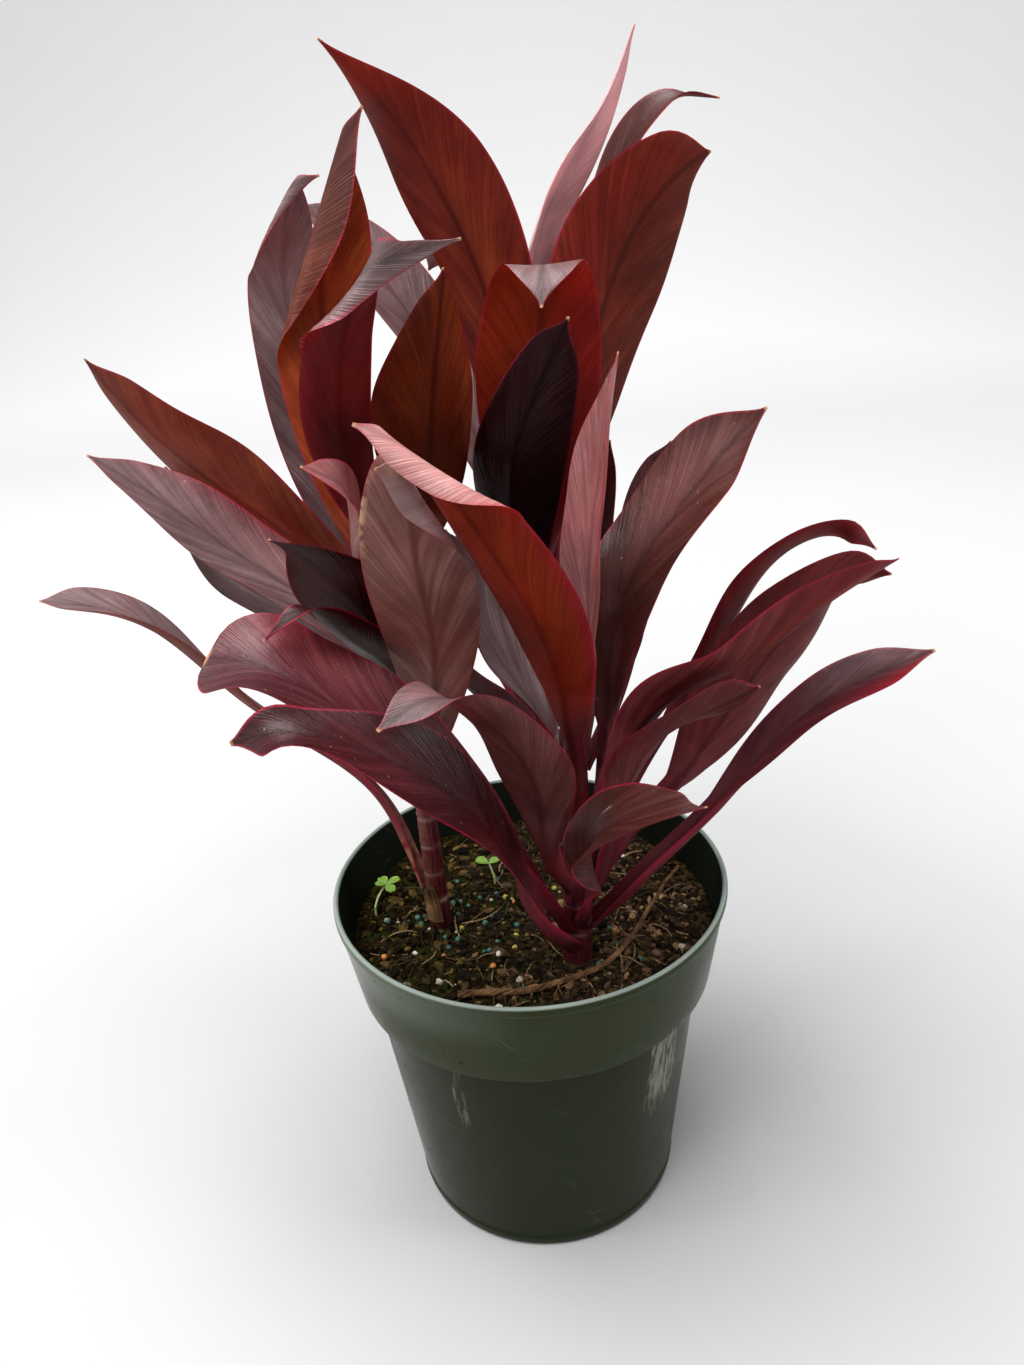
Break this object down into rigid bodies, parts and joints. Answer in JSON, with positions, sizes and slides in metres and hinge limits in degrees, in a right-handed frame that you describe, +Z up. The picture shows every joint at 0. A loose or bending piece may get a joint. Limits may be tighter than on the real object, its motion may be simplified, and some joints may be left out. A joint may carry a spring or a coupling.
{
  "type": "potted ti plant",
  "caption": "Potted ti plant: strap-like dark red leaves arch and fold from upright canes in a tapered green nursery pot filled with potting mix.",
  "frame": {"origin": "centre of the pot's flat base, on its underside", "axes": "+Z up along the pot's axis, +Y towards the back of the plant, so the front is seen looking along +Y"},
  "size_m": [0.3254, 0.2535, 0.4514],
  "materials": {
    "pot": "dark green moulded plastic with a soft gloss and light scuffs, paler at the lip",
    "mix": "damp peat and bark mix with perlite and fertiliser prills",
    "cane": "smooth dark red young cane with pale leaf scars",
    "leaf": "leathery maroon leaf, grey-pink sheen above, red-brown below, crimson margins",
    "dry_root": "dry brown fibrous root",
    "dry_sheath": "papery dry leaf sheath",
    "seedling": "fresh green seedling leaves"
  },
  "bodies": {
    "root": {"back_cane": "cane", "back_leaf_drooping": "leaf", "back_leaf_grey": "leaf", "back_leaf_hooded": "leaf", "back_leaf_shaded": "leaf", "back_leaf_tall_left": "leaf", "back_leaf_tall_right": "leaf", "back_leaf_thin": "leaf", "back_leaf_thin_arching": "leaf", "dry_root": "dry_root", "dry_sheath": "dry_sheath", "left_cane": "cane", "left_leaf_dark": "leaf", "left_leaf_front_fold": "leaf", "left_leaf_inner": "leaf", "left_leaf_low": "leaf", "left_leaf_outer_mid": "leaf", "left_leaf_outer_top": "leaf", "left_leaf_outer_under": "leaf", "left_leaf_slender": "leaf", "left_leaf_small": "leaf", "left_leaf_tall_curled": "leaf", "left_leaf_tall_folded": "leaf", "left_leaf_tall_rolled": "leaf", "nursery_pot": "pot", "potting_mix": "mix", "rear_leaf_left": "leaf", "rear_leaf_low": "leaf", "rear_leaf_right": "leaf", "rear_leaf_upright": "leaf", "right_cane": "cane", "right_leaf_arching": "leaf", "right_leaf_behind": "leaf", "right_leaf_drooping": "leaf", "right_leaf_far": "leaf", "right_leaf_glossy": "leaf", "right_leaf_grey": "leaf", "right_leaf_inner": "leaf", "right_leaf_low_broad": "leaf", "right_leaf_low_front": "leaf", "right_leaf_over_rim": "leaf", "right_leaf_side_broad": "leaf", "right_leaf_side_front": "leaf", "right_leaf_side_small": "leaf", "right_leaf_side_top": "leaf", "right_leaf_spear": "leaf", "right_leaf_under": "leaf", "seedling_left": "seedling", "seedling_middle": "seedling", "seedling_right": "seedling"}
  },
  "joints": []
}
